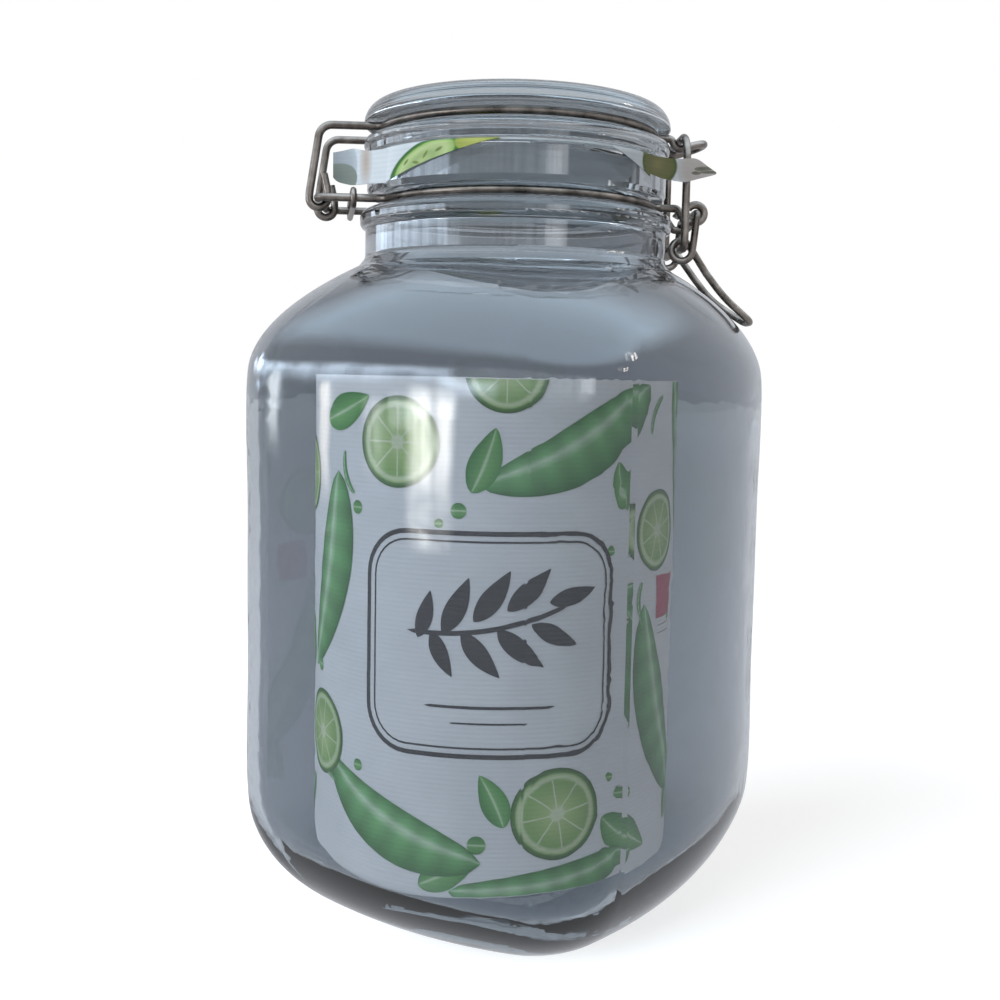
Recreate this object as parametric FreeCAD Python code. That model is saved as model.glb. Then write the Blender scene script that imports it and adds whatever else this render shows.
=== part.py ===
import FreeCAD, Part
import math
import os

V = FreeCAD.Vector
os.makedirs("parts", exist_ok=True)

# A clip-top storage jar of about four litres: a squarish glass jar with a round mouth,
# a glass lid, and a wire closure of five bent wires. Millimetres, +Z up. The origin is
# the middle of the foot. The hinge is at -X and the clamp at +X; the squarish body is
# turned about Z against them, as the closure was fitted.

# ---- wire
wire = 2.6                  # neck wire, lid wire and link
lever_wire = 2.4
tie_wire = 2.0
ring_radius = 46.7          # centre line of both rings
wire_clearance = 0.35       # between wires that turn on each other

# ---- glass body
body_half_width = 77.9      # axis to the middle of a side
body_turn = 55.65           # direction of the middle of a side, from +X, degrees
corner_radius = 31.1        # upright corners
side_bow = 5.0              # how far a side swells out between its corners
round_in = 54.0             # how far heel and shoulder run in towards the axis
heel_rise = 47.6            # upright half axis of the heel's curve
foot_half_width = 32.7      # flat foot that the jar stands on
foot_land = 6.0             # width of that flat
punt_depth = 3.2            # hollow under the base
straight_height = 139.0     # upright wall between heel and shoulder
shoulder_rise = 45.0        # upright half axis of the shoulder's curve
corner_taper = 0.35         # how fast the corner radius shrinks down the heel
corner_radius_least = 8.0
wall = 4.0                  # glass thickness of the sides
base_thickness = 8.0        # glass thickness of the base

# ---- neck and mouth
neck_radius = 51.2
neck_bore = 46.7
neck_height = 11.3
collar_radius = 53.0        # bead under the neck wire
collar_height = 6.8
groove_height = wire + 1.7  # groove of the neck wire
groove_floor_gap = 0.4      # from the wire to the groove's floor
band_radius = 50.7          # mouth wall above the groove
band_height = 11.9
mouth_bore = 41.6
rim_round = 0.9

# ---- lid
lid_radius = 51.8
lid_lip_height = 2.7        # thin lip at its lower edge
lid_lip_radius = 51.0
lid_bead_height = 4.1
lid_groove_height = wire + 1.3   # groove of the lid wire
lid_floor_gap = 0.1         # from the wire to the groove's floor
lid_top_height = 7.4        # rounded top bead
lid_top_round = 9.0
lid_dish_radius = 37.0      # sunk disc on top
lid_dish_depth = 3.4
lid_glass = 7.0             # thickness under the sunk disc
spigot_gap = 1.0            # from the mouth to the ring under the lid that enters it
spigot_taper = 1.2          # so that it leaves the mouth freely as the lid swings
spigot_width = 4.2
spigot_depth = 3.8

# ---- printed sheet caught between the lid and the mouth
sheet_thickness = 0.4
flap_thickness = 0.3
sheet_clearance = 0.18      # above and below it
flap_gap = 0.25             # from the mouth wall to a hanging flap
flap_bend = 1.0             # bend over the rim
front_flap = (-163.0, -99.0)   # directions between which a corner hangs, degrees
front_flap_drop = 12.6
hinge_end_path = [(-50.5, -20.0), (-55.0, -15.0), (-61.0, -12.6)]   # its free end, from above
rear_flap = (36.0, 84.0)
rear_flap_drop = 12.0
link_flap = (-57.0, -37.0)     # strip of the edge from which the pennant leaves
link_flap_drop = 7.0
pennant_path = [(54.0, -23.2), (64.0, -24.2)]   # corner that stands off beside the link

# ---- run of the wires
ring_bend = 5.0             # bend where a strand leaves a ring
hinge_x = -65.9             # the neck wire's hinge bar
hinge_strand_y = 17.4       # its strands
hinge_corner = 2.4          # bend at the ends of the bar
arm_y = 13.4                # the lid wire's arms
arm_top_x = -65.3           # bend at the top of an arm
arm_lean = 3.4              # how far the arm leans out on the way down
arm_bend = 4.5
hook_tip_rise = 8.0         # cut end that points up past the bar
hook_tip_lean = 1.2

catch_half_width = 6.5
catch_reach = 63.9          # tip of the catch
catch_drop = 3.7            # saddle that takes the link
catch_tip_rise = 3.1
catch_saddle_x = 53.7

pivot_x = 59.7              # eyes of the neck wire that carry the lever
pivot_drop = 1.5            # below the neck wire
eye_room = 0.4              # from an eye's wire to the lever's pin
eye_y = 12.0
eye_open_deg = 150.0

lever_y = 15.1              # where a leg of the lever starts its coil
lever_knee = 2.6            # slight bend this far above, which starts the coil's pitch
coil_radius = 3.4           # centre line of the lever's coils
coil_pitch = 3.1
coil_x = 55.0
coil_drop = 12.6            # coils below the pivot
handle_angle_deg = -54.5    # where the handle leaves the coil
handle_bend_x = 64.2
handle_mid_x = 70.6
handle_mid_drop = 17.3      # below the coil's middle, less the bend
handle_tip_x = 81.6
handle_tip_drop = 24.4
handle_tip_radius = 5.0
pin_length = 6.4            # lever pin, inwards from its leg

link_y = 18.4
link_top_x = 55.2
link_top_round = 9.0
link_room = 1.0             # from the link's bar to the saddle below it
link_pin_end_y = 10.8

# ---- rolled paper label that stands in the jar
label_room = 12.9           # from its middle's wall to the glass, if it stood central
label_over = 21.8           # how much taller it is than the upright wall
label_lean = 5.4            # how far its foot reaches out past its radius, on the heel
label_thickness = 0.4
label_turn_gap = 0.5        # between the two layers of the overlap
label_overlap_deg = 24.0
label_seam_deg = 96.0       # where the outer end lies
label_x = -5.3
label_y = -3.0

# ---- radii that follow from the sizes above
groove_radius = ring_radius - wire / 2 - groove_floor_gap
lid_groove_radius = ring_radius - wire / 2 - lid_floor_gap
spigot_radius = mouth_bore - spigot_gap
eye_radius = (wire + lever_wire) / 2 + eye_room
label_radius = body_half_width - wall - label_room

# ---- levels that follow from the sizes above
inset = body_half_width - round_in
heel_z = heel_rise * math.sqrt(1 - ((foot_half_width - inset) / round_in) ** 2)
shoulder_z = heel_z + straight_height


def shoulder_level(half_width, run, rise):
    """Height on the shoulder's curve where the body is this wide."""
    return shoulder_z + rise * math.sqrt(1 - ((half_width - inset) / run) ** 2)


neck_z = shoulder_level(neck_radius, round_in, shoulder_rise)
collar_z = neck_z + neck_height
groove_z = collar_z + collar_height
band_z = groove_z + groove_height
rim_z = band_z + band_height
sheet_z = rim_z + sheet_clearance
lid_z = sheet_z + sheet_thickness + sheet_clearance
bead_z = lid_z + lid_lip_height
lid_groove_z = bead_z + lid_bead_height
top_bead_z = lid_groove_z + lid_groove_height
top_z = top_bead_z + lid_top_height
neck_wire_z = groove_z + 0.45 * groove_height
lid_wire_z = lid_groove_z + 0.5 * lid_groove_height
pivot_z = neck_wire_z - pivot_drop
coil_z = pivot_z - coil_drop
link_top_z = lid_wire_z - catch_drop + wire + link_room
label_height = straight_height + label_over
label_run = (label_radius + label_lean - inset) / (round_in - wall)
label_z = heel_z - (heel_z - base_thickness) * math.sqrt(1 - label_run ** 2)


# ---- small helpers
def arc(a, b, c):
    return Part.Arc(a, b, c).toShape()


def save(shape, name):
    solids = shape.Solids
    if len(solids) != 1 or not solids[0].isValid():
        print("CHECK", name, "solids", len(solids), "valid", shape.isValid())
    solids[0].exportStep("parts/" + name + ".step")
    print(name, round(solids[0].Volume / 1000, 2), "cm3", solids[0].BoundBox)


def revolve(points):
    """Turn a closed outline of (radius, height) points about Z. A third number in a
    point rounds that corner with such a radius."""
    edges = rounded([V(p[0], 0, p[1]) for p in points], [p[2] if len(p) > 2 else 0 for p in points], True)
    face = Part.Face(Part.Wire(edges))
    return face.revolve(V(0, 0, 0), V(0, 0, 1), 360)


def rounded(points, radii, closed=False):
    """Edges of a polyline whose corners are rounded with the given radii."""
    n = len(points)
    ends = []
    for i, p in enumerate(points):
        if not closed and i in (0, n - 1) or radii[i] == 0:
            ends.append((p, None, p))
            continue
        a = (points[i - 1] - p).normalize()
        b = (points[(i + 1) % n] - p).normalize()
        half = a.getAngle(b) / 2
        cut = radii[i] / math.tan(half)
        middle = p + (a + b).normalize() * (radii[i] / math.sin(half) - radii[i])
        ends.append((p + a * cut, middle, p + b * cut))
    edges = []
    for i in range(n):
        start, middle, end = ends[i]
        if middle is not None:
            edges.append(arc(start, middle, end))
        after = ends[(i + 1) % n][0]
        if (closed or i < n - 1) and (after - end).Length > 1e-6:
            edges.append(Part.makeLine(end, after))
    return edges


def sweep(edges, diameter):
    """A round wire along a path of edges that run smoothly into each other."""
    path = Part.Wire(edges)
    first = edges[0]
    start = first.valueAt(first.FirstParameter)
    along = first.tangentAt(first.FirstParameter)
    profile = Part.Wire(Part.makeCircle(diameter / 2, start, along))
    return path.makePipeShell([profile], True, False)


# ---- glass jar
def body_section(half_width, radius, bow, z):
    """Bowed square with tangent corners, as eight arcs. Without a bow it is a circle."""
    if bow > 1e-6:
        c = half_width - bow - radius
        side = (c * c + 2 * radius * bow + bow * bow) / (2 * bow)
        middle = half_width - side
        split = math.atan2(c, c - middle)
        near = V(middle + side * math.cos(split), side * math.sin(split), 0)
        corner = V(c + radius / math.sqrt(2), c + radius / math.sqrt(2), 0)
    else:
        split = math.radians(40.3)
        near = V(half_width * math.cos(split), half_width * math.sin(split), 0)
        corner = V(half_width / math.sqrt(2), half_width / math.sqrt(2), 0)
    below = V(near.x, -near.y, 0)
    far = V(near.y, near.x, 0)
    edges = []
    for k in range(4):
        turn = FreeCAD.Rotation(V(0, 0, 1), body_turn + 90 * k)
        up = V(0, 0, z)
        spots = [turn.multVec(p) + up for p in (below, V(half_width, 0, 0), near, corner, far)]
        edges.append(arc(spots[0], spots[1], spots[2]))
        edges.append(arc(spots[2], spots[3], spots[4]))
    return Part.Wire(edges)


def body_form(thin, bottom_z, end_radius):
    """Loft of the body from its base to the foot of the neck, thin mm inside the outer face."""
    run = round_in - thin
    heel = heel_z - bottom_z
    low = heel_rise if thin == 0 else heel
    full = body_half_width - thin
    sections = []

    def add(half_width, z, shoulder):
        if shoulder:
            t = min(1.0, (full - half_width) / (full - end_radius))
            radius = corner_radius - thin + (half_width - corner_radius + thin) * t
            bow = side_bow * (1 - t)
        else:
            radius = max(corner_radius - thin - corner_taper * (full - half_width), corner_radius_least)
            bow = side_bow * half_width / full
        sections.append(body_section(half_width, radius, bow, z))

    first = math.degrees(math.acos(heel / low)) if thin == 0 else 12.0
    for i in range(8):
        angle = math.radians(first + (90 - first) * i / 8)
        z = heel_z - low * math.cos(angle) if i or thin == 0 else bottom_z
        add(inset + run * math.sin(angle), z, False)
    for i in range(5):
        add(full, heel_z + straight_height * i / 4, False)
    last = math.asin(min(1.0, (end_radius - inset) / run))
    rise = shoulder_rise - thin
    for i in range(1, 10):
        angle = math.radians(90) + (last - math.radians(90)) * i / 9
        add(inset + run * math.sin(angle), shoulder_z + rise * math.cos(angle), True)
    return Part.makeLoft(sections, True, False)


def make_jar():
    outside = body_form(0, 0, neck_radius + 0.9)
    foot = neck_z - 1.4
    neck = revolve([
        (0, foot - 4), (neck_radius + 3.0, foot - 4), (neck_radius + 3.0, foot - 0.6, 0),
        (neck_radius, foot + 3.2, 3.0), (neck_radius, collar_z, 0.8),
        (collar_radius, collar_z + 0.9, 2.2), (collar_radius, groove_z - 0.7, 2.4),
        (groove_radius, groove_z, 1.2), (groove_radius, band_z, 1.2),
        (band_radius - 0.9, band_z, 0.4), (band_radius, band_z + 1.8, 0.8),
        (band_radius, rim_z, rim_round), (0, rim_z)])
    solid = outside.fuse(neck)
    inner_end = neck_bore + 0.8
    inside = body_form(wall, base_thickness, inner_end)
    inner_z = shoulder_level(inner_end, round_in - wall, shoulder_rise - wall)
    bore = revolve([
        (0, inner_z - 6), (neck_bore + 3.2, inner_z - 6), (neck_bore + 3.2, inner_z - 1.6),
        (neck_bore, inner_z + 2.6, 3.0), (neck_bore, collar_z - 1.0, 6.0),
        (mouth_bore, groove_z + 0.5, 6.0), (mouth_bore, rim_z - 1.2, 0.6), (mouth_bore + 1.2, rim_z, 0.6),
        (mouth_bore + 1.2, rim_z + 3), (0, rim_z + 3)])
    solid = solid.cut(inside.fuse(bore))
    punt = foot_half_width - foot_land
    hollow = revolve([(0, -5), (punt, -5), (punt, 0), (punt - 3.5, 0.7 * punt_depth, 5.0), (0, punt_depth)])
    return solid.cut(hollow).removeSplitter()


def make_lid():
    dish_z = top_z - lid_dish_depth
    under_z = dish_z - lid_glass
    inner = spigot_radius - spigot_taper - spigot_width
    ridge = lid_radius - lid_top_round
    return revolve([
        (0, under_z), (inner - 1.0, under_z - 0.8, 3.0), (inner, lid_z - spigot_depth, 0.9),
        (spigot_radius - spigot_taper, lid_z - spigot_depth, 0.9), (spigot_radius, lid_z, 0.4),
        (lid_lip_radius, lid_z, 0.9), (lid_lip_radius, bead_z, 0.4),
        (lid_radius, bead_z + 0.8, 1.0), (lid_radius, lid_groove_z - 0.9, 1.3),
        (lid_groove_radius, lid_groove_z, 1.1), (lid_groove_radius, top_bead_z, 1.1),
        (lid_radius, top_bead_z, 0.9), (lid_radius, top_z, lid_top_round - 2.2),
        (lid_dish_radius + 2.0, top_z, 2.6), (lid_dish_radius, dish_z, 3.0), (0, dish_z + 0.5)])


# ---- wires
def ring_exit(y, side):
    """Where a strand at this y, on the +X or -X side, leaves the ring: the bend's start
    on the strand, a point on the bend, and its end on the ring."""
    reach = ring_radius + ring_bend
    across = abs(y) + ring_bend
    middle = V(side * math.sqrt(reach ** 2 - across ** 2), math.copysign(across, y), 0)
    on_ring = middle * (ring_radius / reach)
    on_strand = V(middle.x, y, 0)
    half = ((on_ring - middle).normalize() + (on_strand - middle).normalize()).normalize()
    return on_strand, middle + half * ring_bend, on_ring


def up(point, z):
    return V(point.x, point.y, z)


def mirrored(edges):
    """The same edges on the other side of the XZ plane, in reverse order."""
    return [edge.mirror(V(0, 0, 0), V(0, 1, 0)) for edge in reversed(edges)]


def joined(edges, diameter):
    """Sweep after sorting, because mirrored edges run backwards."""
    path = Part.Wire(Part.__sortEdges__(edges))
    first = path.OrderedEdges[0]
    start = first.valueAt(first.FirstParameter)
    along = first.tangentAt(first.FirstParameter)
    if first.Orientation == "Reversed":
        start = first.valueAt(first.LastParameter)
        along = first.tangentAt(first.LastParameter)
    profile = Part.Wire(Part.makeCircle(diameter / 2, start, along))
    return path.makePipeShell([profile], True, False)


def ring_side(front, back, z):
    """Half of a ring on the -Y side, from its strand at -X to its strand at +X."""
    b_strand, b_mid, b_ring = ring_exit(-back, -1)
    f_strand, f_mid, f_ring = ring_exit(-front, 1)
    half_way = V(0, -ring_radius, z)
    return (arc(up(b_strand, z), up(b_mid, z), up(b_ring, z)),
            arc(up(b_ring, z), half_way, up(f_ring, z)),
            arc(up(f_ring, z), up(f_mid, z), up(f_strand, z)),
            up(b_strand, z), up(f_strand, z))


def make_neck_wire():
    z = neck_wire_z
    bend_in, ring, bend_out, strand, clamp_end = ring_side(eye_y, hinge_strand_y, z)
    y = -hinge_strand_y
    bar = rounded([V(hinge_x, 0, z), V(hinge_x, y, z), strand], [0, hinge_corner, 0])
    bottom = V(pivot_x, -eye_y, pivot_z - eye_radius)
    run = rounded([clamp_end, V(53.4, -eye_y, z), V(56.4, -eye_y, bottom.z), bottom], [0, 2.0, 2.0, 0])
    end = math.radians(eye_open_deg)
    half = (end - math.radians(90)) / 2

    def on_eye(angle):
        return V(pivot_x + eye_radius * math.cos(angle), -eye_y, pivot_z + eye_radius * math.sin(angle))

    eye = arc(bottom, on_eye(half), on_eye(end))
    side = bar + [bend_in, ring, bend_out] + run + [eye]
    return joined(side + mirrored(side), wire)


def make_tie():
    """Flat link of thin wire round both hinge strands, which keeps the ring tight."""
    radius = wire / 2 + 0.15 + tie_wire / 2
    y = hinge_strand_y
    low = V(0, 0, -radius)
    high = V(0, 0, radius)
    edges = [Part.makeLine(V(0, -y, 0) + high, V(0, y, 0) + high),
             arc(V(0, y, 0) + high, V(0, y + radius, 0), V(0, y, 0) + low),
             Part.makeLine(V(0, y, 0) + low, V(0, -y, 0) + low),
             arc(V(0, -y, 0) + low, V(0, -y - radius, 0), V(0, -y, 0) + high)]
    tie = sweep(edges, tie_wire)
    tie.rotate(V(0, 0, 0), V(0, 0, 1), 6.0)
    tie.translate(V(hinge_x + 9.9, 0, neck_wire_z))
    return tie


def make_lid_wire():
    z = lid_wire_z
    bar_z = neck_wire_z
    bend_in, ring, bend_out, strand, front = ring_side(catch_half_width, arm_y, z)
    y = -arm_y
    hook = wire + wire_clearance
    left = V(hinge_x - hook, y, bar_z)
    under = V(hinge_x, y, bar_z - hook)
    right = V(hinge_x + hook, y, bar_z)
    tip = V(right.x - hook_tip_lean, y, bar_z + hook_tip_rise)
    arm_foot = V(left.x, y, bar_z + 1.5)
    arm = rounded([strand, V(arm_top_x, y, z), arm_foot, left], [0, arm_bend, 12.0, 0])
    end = rounded([right, V(right.x, y, bar_z + 2.6), tip], [0, 8.0, 0])
    saddle = V(catch_saddle_x, -catch_half_width, z - catch_drop)
    tip_z = saddle.z + catch_tip_rise
    catch = rounded([front, V(51.7, -catch_half_width, z), saddle,
                     V(catch_reach, -catch_half_width, tip_z), V(catch_reach, 0, tip_z)],
                    [0, 1.6, 2.2, catch_half_width - 0.6, 0])
    side = [arc(left, under, right)] + arm + end + [bend_in, ring, bend_out] + catch
    return joined(side + mirrored(side), wire)


def on_coil(angle_deg, y):
    angle = math.radians(angle_deg)
    return V(coil_x + coil_radius * math.cos(angle), y, coil_z + coil_radius * math.sin(angle))


def make_lever():
    pivot = V(pivot_x, 0, pivot_z)
    to_coil = V(coil_x - pivot_x, 0, coil_z - pivot_z)
    aim = math.degrees(math.atan2(to_coil.z, to_coil.x))
    swing = math.degrees(math.asin(coil_radius / to_coil.Length))
    arrive = aim + swing + 90 - 360 * (aim + swing + 90 > 180)
    leave = handle_angle_deg + 90 - 360
    turns = (arrive - leave) / 360
    slope = coil_pitch / (2 * math.pi * coil_radius)
    start_angle = math.radians(arrive)
    outwards = V(math.cos(start_angle), 0, math.sin(start_angle))
    onwards = V(math.sin(start_angle), 0, -math.cos(start_angle))
    coil = Part.makeHelix(coil_pitch, coil_pitch * turns, coil_radius)
    coil.Placement = FreeCAD.Placement(
        V(coil_x, -lever_y, coil_z), FreeCAD.Rotation(outwards, onwards, V(0, 1, 0), "ZXY"))
    coil_start = on_coil(arrive, -lever_y)
    coil_end = on_coil(leave, -lever_y + coil_pitch * turns)
    down_leg = (coil_start - V(pivot.x, -lever_y, pivot.z)).normalize()
    knee = coil_start - (down_leg + V(0, slope, 0)) * lever_knee
    aim = math.radians(handle_angle_deg)
    out = V(math.cos(aim), slope, math.sin(aim)).normalize()
    leg_top = V(pivot.x, knee.y, pivot.z)
    pin_end = V(pivot.x, knee.y + pin_length, pivot.z)
    leg = rounded([pin_end, leg_top, knee, coil_start], [0, 2.0, 12.0, 0])
    start = coil_end
    along = (handle_bend_x - start.x) / out.x
    bend = start + out * along
    mid = V(handle_mid_x, -10.4, coil_z - handle_mid_drop + 2.4)
    tip = V(handle_tip_x, -handle_tip_radius, coil_z - handle_tip_drop + 1.6)
    handle = rounded([start, bend, mid, tip, V(tip.x, 0, tip.z)], [0, 14.0, 24.0, handle_tip_radius - 0.4, 0])
    side = leg + coil.Edges + handle
    return joined(side + mirrored(side), lever_wire)


def make_link():
    pin_z = coil_z + coil_radius - lever_wire / 2 - wire / 2 - wire_clearance
    foot = V(coil_x + 0.1, -link_y, pin_z)
    top = V(link_top_x, -link_y, link_top_z)
    side = rounded([V(foot.x, -link_pin_end_y, pin_z), foot, top, V(link_top_x, 0, link_top_z)],
                   [0, 2.2, link_top_round, 0])
    return joined(side + mirrored(side), wire)


# ---- paper
def make_label():
    """Sheet rolled into a tube whose ends overlap: a spiral extruded upwards."""
    total = 360 + label_overlap_deg
    outer = []
    inner = []
    steps = 32
    for i in range(steps + 1):
        angle = math.radians(label_seam_deg + total * i / steps)
        radius = label_radius - (label_thickness + label_turn_gap) * i / steps
        way = V(math.cos(angle), math.sin(angle), 0)
        outer.append(way * radius)
        inner.append(way * (radius - label_thickness))
    curves = []
    for points in (outer, inner):
        curve = Part.BSplineCurve()
        curve.interpolate(points)
        curves.append(curve.toShape())
    edges = [curves[0], Part.makeLine(outer[-1], inner[-1]), curves[1], Part.makeLine(inner[0], outer[0])]
    face = Part.Face(Part.Wire(Part.__sortEdges__(edges)))
    label = face.extrude(V(0, 0, label_height))
    label.translate(V(label_x, label_y, label_z))
    return label


def strip(points, radii, thickness):
    """Closed outline of a thin strip: an open (radius, height) line and its left-hand offset."""
    steps = [(V(*q, 0) - V(*p, 0)).normalize() for p, q in zip(points, points[1:])]
    other = []
    for i, point in enumerate(points):
        before = steps[max(i - 1, 0)]
        after = steps[min(i, len(steps) - 1)]
        half = before.getAngle(after) / 2
        normal = V(-before.y - after.y, before.x + after.x, 0).normalize()
        spot = V(*point, 0) + normal * (thickness / math.cos(half))
        left = before.cross(after).z > 0
        radius = radii[i] + (-thickness if left else thickness) if radii[i] else 0
        other.append((spot.x, spot.y, radius))
    return [(p[0], p[1], r) for p, r in zip(points, radii)] + other[::-1]


def flap(points, radii, start_deg, end_deg):
    """Part of the sheet outside the mouth, as a turned strip between two directions."""
    outline = strip(points, radii, flap_thickness)
    edges = rounded([V(p[0], 0, p[1]) for p in outline], [p[2] for p in outline], True)
    band = Part.Face(Part.Wire(edges)).revolve(V(0, 0, 0), V(0, 0, 1), end_deg - start_deg)
    band.rotate(V(0, 0, 0), V(0, 0, 1), start_deg)
    return band


def trimmed(shape, start, end, below):
    """Cut a hanging flap along a straight line between two points given as direction in
    degrees and height, away from the side that is below."""
    radius = band_radius + flap_gap
    spots = []
    for angle, z in (start, end):
        way = math.radians(angle)
        spots.append(V(radius * math.cos(way), radius * math.sin(way), z))
    middle = math.radians((start[0] + end[0]) / 2)
    outward = V(math.cos(middle), math.sin(middle), 0)
    line = (spots[1] - spots[0]).normalize()
    normal = line.cross(outward).normalize()
    if (normal.z > 0) == below:
        normal = normal * -1
    base = spots[0] - line * 60 - outward * 30
    face = Part.Face(Part.makePolygon([base, base + line * 180, base + line * 180 + outward * 60,
                                       base + outward * 60, base]))
    return shape.cut(face.extrude(normal * 40))


def hanging(path, outline, radii):
    """Free-standing piece of the sheet: a thin wall on a plan curve, cut to an outline
    of (x, z) points as seen from the front."""
    path = [V(*spot, 0) for spot in path]
    along = (path[-1] - path[0]).normalize()
    away = V(-along.y, along.x, 0) * flap_thickness
    curve = Part.BSplineCurve()
    curve.interpolate(Points=path)
    near = curve.toShape()
    far = near.copy()
    far.translate(away)
    ends = [Part.makeLine(path[-1], path[-1] + away), Part.makeLine(path[0] + away, path[0])]
    plan = Part.Face(Part.Wire([near, ends[0], far, ends[1]]))
    low = min(z for x, z in outline)
    tall = plan.extrude(V(0, 0, 30))
    tall.translate(V(0, 0, low - 5))
    front = rounded([V(x, -60, z) for x, z in outline], radii, True)
    return tall.common(Part.Face(Part.Wire(front)).extrude(V(0, 60, 0)))


def on_wall(angle_deg, gap):
    angle = math.radians(angle_deg)
    radius = band_radius + flap_gap + gap
    return radius * math.cos(angle), radius * math.sin(angle)


def make_sheet():
    level = sheet_z + (sheet_thickness - flap_thickness) / 2
    low = lid_z - spigot_depth - sheet_clearance - sheet_thickness
    high = sheet_z + sheet_thickness
    edge = band_radius - 0.6
    # over the rim and down round the spigot, which pushes it into the mouth
    root = spigot_radius + sheet_clearance
    foot = root - spigot_taper
    sheet = revolve([
        (0, low), (foot + sheet_thickness, low, 1.2), (root + sheet_thickness, sheet_z - 0.9, 0.9),
        (root + sheet_thickness + 0.9, sheet_z, 0.5), (edge, sheet_z), (edge, high),
        (root + 0.7, high, 0.3), (root, high - 0.7, 0.6), (foot, low + sheet_thickness, 0.8),
        (0, low + sheet_thickness)])
    inner = edge - 1.2
    wall_line = band_radius + flap_gap
    # corner that hangs down the mouth's wall, cut by the sheet's straight edge
    front = flap([(inner, level), (wall_line, level), (wall_line + 0.6, level - front_flap_drop)],
                 [0, flap_bend, 0], front_flap[0] + 15, front_flap[1])
    front = trimmed(front, (front_flap[1] - 4, level - 0.6), (-150.0, level - front_flap_drop + 1.0), True)
    # its end beside the hinge, which leaves the wall in a soft bulge and stands free
    path = [on_wall(front_flap[0] + 17, 0.15), on_wall(front_flap[0] + 14, 1.2), *hinge_end_path]
    low = level - front_flap_drop
    tip_x = hinge_end_path[-1][0]
    hinge_end = hanging(
        path, [(-40.0, level - 0.6), (-49.0, level - 0.3), (-54.5, level + 1.6), (tip_x - 1, level + 0.4),
               (tip_x - 1, low + 4.2), (-55.0, low + 2.4), (-49.0, low + 2.0), (-40.0, low + 1.2)],
        [0, 6.0, 5.0, 1.0, 4.5, 6.0, 6.0, 0])
    # short edge beside the clamp, and the corner that has slipped outside the link
    beside = flap([(inner, level), (wall_line, level), (wall_line + 0.1, level - link_flap_drop)],
                  [0, flap_bend, 0], *link_flap)
    beside = trimmed(beside, (link_flap[0] + 1, level - 0.6),
                     (link_flap[1] - 1, level - link_flap_drop + 0.4), True)
    # corner at the back
    rear = flap([(inner, level), (wall_line, level), (wall_line + 1.4, level - rear_flap_drop)],
                [0, flap_bend, 0], *rear_flap)
    lowest = (61.0, level - rear_flap_drop + 1.0)
    rear = trimmed(rear, (rear_flap[0] + 2, level - 0.6), lowest, True)
    rear = trimmed(rear, (rear_flap[1] - 2, level - 0.6), lowest, True)
    low = level - link_flap_drop
    tip_x = pennant_path[-1][0] + 0.5
    path = [on_wall(link_flap[1] - 2.5, 0.28), on_wall(link_flap[1] + 1.0, 0.55), *pennant_path]
    pennant = hanging(
        path, [(36.0, level - 0.4), (50.5, level - 0.2), (57.5, level + 0.6), (tip_x, level - 4.6),
               (58.0, low + 0.8), (54.0, low - 0.4), (46.0, low), (36.0, low + 1.8)],
        [0, 4.0, 5.0, 0.5, 8.0, 4.0, 6.0, 0])
    return sheet.fuse([front, hinge_end, beside, pennant, rear])


builders = [
    ("glass_jar", make_jar),
    ("glass_lid", make_lid),
    ("neck_wire", make_neck_wire),
    ("hinge_tie", make_tie),
    ("lid_wire", make_lid_wire),
    ("clamp_lever", make_lever),
    ("clamp_link", make_link),
    ("rolled_label", make_label),
    ("printed_sheet", make_sheet),
]
for name, build in builders:
    save(build(), name)
print("height", round(top_z, 2), "rim", round(rim_z, 2))
print("neck wire", round(neck_wire_z, 2), "lid wire", round(lid_wire_z, 2))
print("pivot", pivot_x, round(pivot_z, 2), "coil", coil_x, round(coil_z, 2))
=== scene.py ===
import bpy
import math
from mathutils import Matrix, Vector


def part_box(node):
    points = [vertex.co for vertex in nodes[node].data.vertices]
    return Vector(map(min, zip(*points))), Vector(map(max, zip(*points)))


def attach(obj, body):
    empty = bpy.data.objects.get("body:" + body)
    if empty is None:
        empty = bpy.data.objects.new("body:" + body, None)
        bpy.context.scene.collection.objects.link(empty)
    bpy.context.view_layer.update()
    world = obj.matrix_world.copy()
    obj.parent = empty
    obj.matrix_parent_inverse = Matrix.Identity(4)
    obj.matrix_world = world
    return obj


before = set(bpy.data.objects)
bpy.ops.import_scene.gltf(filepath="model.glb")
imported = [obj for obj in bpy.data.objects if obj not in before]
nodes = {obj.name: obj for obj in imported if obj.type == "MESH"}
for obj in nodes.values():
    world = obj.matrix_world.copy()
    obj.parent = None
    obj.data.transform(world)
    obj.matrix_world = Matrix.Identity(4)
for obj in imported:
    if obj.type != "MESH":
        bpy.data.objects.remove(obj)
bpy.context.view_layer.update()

MM = 0.001      # frame lengths are in metres

# ---------------------------------------------------------------- small helpers


def linear(hex_colour):
    """Linear RGBA of an sRGB hex colour."""
    values = [int(hex_colour[i:i + 2], 16) / 255 for i in (1, 3, 5)]
    return [v / 12.92 if v <= 0.04045 else ((v + 0.055) / 1.055) ** 2.4 for v in values] + [1.0]


def add(tree, kind, inputs=None, stops=None, **settings):
    """Add a shader node. Inputs are sockets to link from, or values; stops are the places
    and linear colours of a ramp."""
    made = tree.nodes.new("ShaderNode" + kind)
    for name, value in settings.items():
        setattr(made, name, value)
    for key, value in (inputs or {}).items():
        if isinstance(value, bpy.types.NodeSocket):
            tree.links.new(value, made.inputs[key])
        else:
            made.inputs[key].default_value = value
    if stops:
        ramp = made.color_ramp
        while len(ramp.elements) < len(stops):
            ramp.elements.new(0.5)
        for element, (place, colour) in zip(ramp.elements, stops):
            element.position = place
            element.color = colour
    return made


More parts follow.
